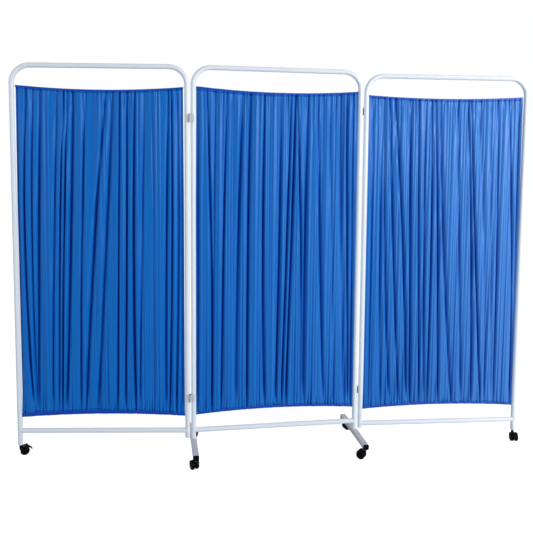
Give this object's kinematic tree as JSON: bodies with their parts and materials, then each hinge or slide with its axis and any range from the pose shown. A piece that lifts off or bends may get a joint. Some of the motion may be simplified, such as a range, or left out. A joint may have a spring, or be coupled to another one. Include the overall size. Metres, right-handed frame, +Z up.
{
  "type": "mobile privacy screen",
  "caption": "Folding ward privacy screen: bent white tube frames with gathered blue cloth panels, side wings hinged to a middle frame on curved feet, all on twin-wheel castors.",
  "frame": {"origin": "on the floor under the centre of the middle frame", "axes": "+X along the middle frame to the viewer's right, +Y away from the viewer, +Z up; -Y is the front"},
  "size_m": [2.3931, 0.3554, 1.79],
  "materials": {
    "powder_coat": "gloss",
    "foot_paint": "satin",
    "curtain_cloth": "matt",
    "spring_wire": "satin",
    "zinc_plate": "satin",
    "hinge_steel": "satin",
    "pin_steel": "satin",
    "fastener_steel": "satin",
    "post_end_plastic": "gloss",
    "plug_plastic": "matt",
    "castor_steel": "polished",
    "castor_plastic": "gloss",
    "wheel_nylon": "satin",
    "lever_plastic": "gloss"
  },
  "bodies": {
    "middle": {"middle_frame_tube": "powder_coat", "middle_crossbar": "powder_coat", "middle_curtain": "curtain_cloth", "middle_curtain_wires": "spring_wire", "middle_screw_eyes": "zinc_plate", "left_foot_tube": "foot_paint", "right_foot_tube": "foot_paint", "left_front_foot_plug": "plug_plastic", "left_rear_foot_plug": "plug_plastic", "right_front_foot_plug": "plug_plastic", "right_rear_foot_plug": "plug_plastic", "foot_bolts": "fastener_steel", "post_inserts": "fastener_steel", "left_hinge_fixed_leaves": "hinge_steel", "right_hinge_fixed_leaves": "hinge_steel", "left_hinge_pins": "pin_steel", "right_hinge_pins": "pin_steel", "left_front_castor_stem": "castor_steel", "left_rear_castor_stem": "castor_steel", "right_front_castor_stem": "castor_steel", "right_rear_castor_stem": "castor_steel"},
    "left_wing": {"left_wing_frame_tube": "powder_coat", "left_wing_crossbar": "powder_coat", "left_wing_curtain": "curtain_cloth", "left_wing_curtain_wires": "spring_wire", "left_wing_screw_eyes": "zinc_plate", "left_wing_post_plug": "post_end_plastic", "left_wing_castor_socket": "post_end_plastic", "left_wing_castor_stem": "castor_steel", "left_hinge_moving_leaves": "hinge_steel"},
    "right_wing": {"right_wing_frame_tube": "powder_coat", "right_wing_crossbar": "powder_coat", "right_wing_curtain": "curtain_cloth", "right_wing_curtain_wires": "spring_wire", "right_wing_screw_eyes": "zinc_plate", "right_wing_post_plug": "post_end_plastic", "right_wing_castor_socket": "post_end_plastic", "right_wing_castor_stem": "castor_steel", "right_hinge_moving_leaves": "hinge_steel"},
    "left_front_swivel": {"left_front_castor_housing": "castor_plastic", "left_front_castor_axle": "castor_steel"},
    "left_front_wheels": {"left_front_castor_wheels": "wheel_nylon"},
    "left_rear_swivel": {"left_rear_castor_housing": "castor_plastic", "left_rear_castor_axle": "castor_steel"},
    "left_rear_wheels": {"left_rear_castor_wheels": "wheel_nylon"},
    "right_front_swivel": {"right_front_castor_housing": "castor_plastic", "right_front_castor_axle": "castor_steel"},
    "right_front_wheels": {"right_front_castor_wheels": "wheel_nylon"},
    "right_rear_swivel": {"right_rear_castor_housing": "castor_plastic", "right_rear_castor_axle": "castor_steel"},
    "right_rear_wheels": {"right_rear_castor_wheels": "wheel_nylon"},
    "left_wing_swivel": {"left_wing_castor_housing": "castor_plastic", "left_wing_castor_axle": "castor_steel"},
    "left_wing_wheels": {"left_wing_castor_wheels": "wheel_nylon"},
    "left_wing_brake": {"left_wing_brake_lever": "lever_plastic"},
    "right_wing_swivel": {"right_wing_castor_housing": "castor_plastic", "right_wing_castor_axle": "castor_steel"},
    "right_wing_wheels": {"right_wing_castor_wheels": "wheel_nylon"},
    "right_wing_brake": {"right_wing_brake_lever": "lever_plastic"}
  },
  "joints": [
    {"name": "left_wing_hinge", "type": "hinge", "parent": "middle", "child": "left_wing", "pos_m": [-0.4005, -0.013, 0.913], "axis": [0, 0, 1], "range_deg": [-18.1, 168.9]},
    {"name": "right_wing_hinge", "type": "hinge", "parent": "middle", "child": "right_wing", "pos_m": [0.4005, 0.013, 0.9335], "axis": [0, 0, 1], "range_deg": [-21.1, 165.9]},
    {"name": "left_front_swivel", "type": "hinge", "parent": "middle", "child": "left_front_swivel", "pos_m": [-0.37815, -0.14979, 0.036], "axis": [0, 0, 1], "continuous": true},
    {"name": "left_front_wheel_spin", "type": "hinge", "parent": "left_front_swivel", "child": "left_front_wheels", "pos_m": [-0.38489, -0.13311, 0.02], "axis": [-0.9272, -0.3746, 0], "continuous": true},
    {"name": "left_rear_swivel", "type": "hinge", "parent": "middle", "child": "left_rear_swivel", "pos_m": [-0.39385, 0.14979, 0.036], "axis": [0, 0, 1], "continuous": true},
    {"name": "left_rear_wheel_spin", "type": "hinge", "parent": "left_rear_swivel", "child": "left_rear_wheels", "pos_m": [-0.38431, 0.16506, 0.02], "axis": [-0.848, 0.5299, 0], "continuous": true},
    {"name": "right_front_swivel", "type": "hinge", "parent": "middle", "child": "right_front_swivel", "pos_m": [0.39385, -0.14979, 0.036], "axis": [0, 0, 1], "continuous": true},
    {"name": "right_front_wheel_spin", "type": "hinge", "parent": "right_front_swivel", "child": "right_front_wheels", "pos_m": [0.38047, -0.13775, 0.02], "axis": [-0.6691, -0.7431, 0], "continuous": true},
    {"name": "right_rear_swivel", "type": "hinge", "parent": "middle", "child": "right_rear_swivel", "pos_m": [0.37815, 0.14979, 0.036], "axis": [0, 0, 1], "continuous": true},
    {"name": "right_rear_wheel_spin", "type": "hinge", "parent": "right_rear_swivel", "child": "right_rear_wheels", "pos_m": [0.39569, 0.15384, 0.02], "axis": [-0.225, 0.9744, 0], "continuous": true},
    {"name": "left_wing_swivel", "type": "hinge", "parent": "left_wing", "child": "left_wing_swivel", "pos_m": [-1.17974, 0.09439, 0.036], "axis": [0, 0, 1], "continuous": true},
    {"name": "left_wing_wheel_spin", "type": "hinge", "parent": "left_wing_swivel", "child": "left_wing_wheels", "pos_m": [-1.16262, 0.09996, 0.02], "axis": [-0.309, 0.9511, 0], "continuous": true},
    {"name": "left_wing_brake_press", "type": "hinge", "parent": "left_wing_swivel", "child": "left_wing_brake", "pos_m": [-1.15463, 0.10255, 0.0446], "axis": [-0.309, 0.9511, 0], "range_deg": [0, 5]},
    {"name": "right_wing_swivel", "type": "hinge", "parent": "right_wing", "child": "right_wing_swivel", "pos_m": [1.18429, -0.05346, 0.036], "axis": [0, 0, 1], "continuous": true},
    {"name": "right_wing_wheel_spin", "type": "hinge", "parent": "right_wing_swivel", "child": "right_wing_wheels", "pos_m": [1.18117, -0.07119, 0.02], "axis": [0.9848, -0.1736, 0], "continuous": true},
    {"name": "right_wing_brake_press", "type": "hinge", "parent": "right_wing_swivel", "child": "right_wing_brake", "pos_m": [1.17971, -0.07946, 0.0446], "axis": [0.9848, -0.1736, 0], "range_deg": [0, 5]}
  ]
}
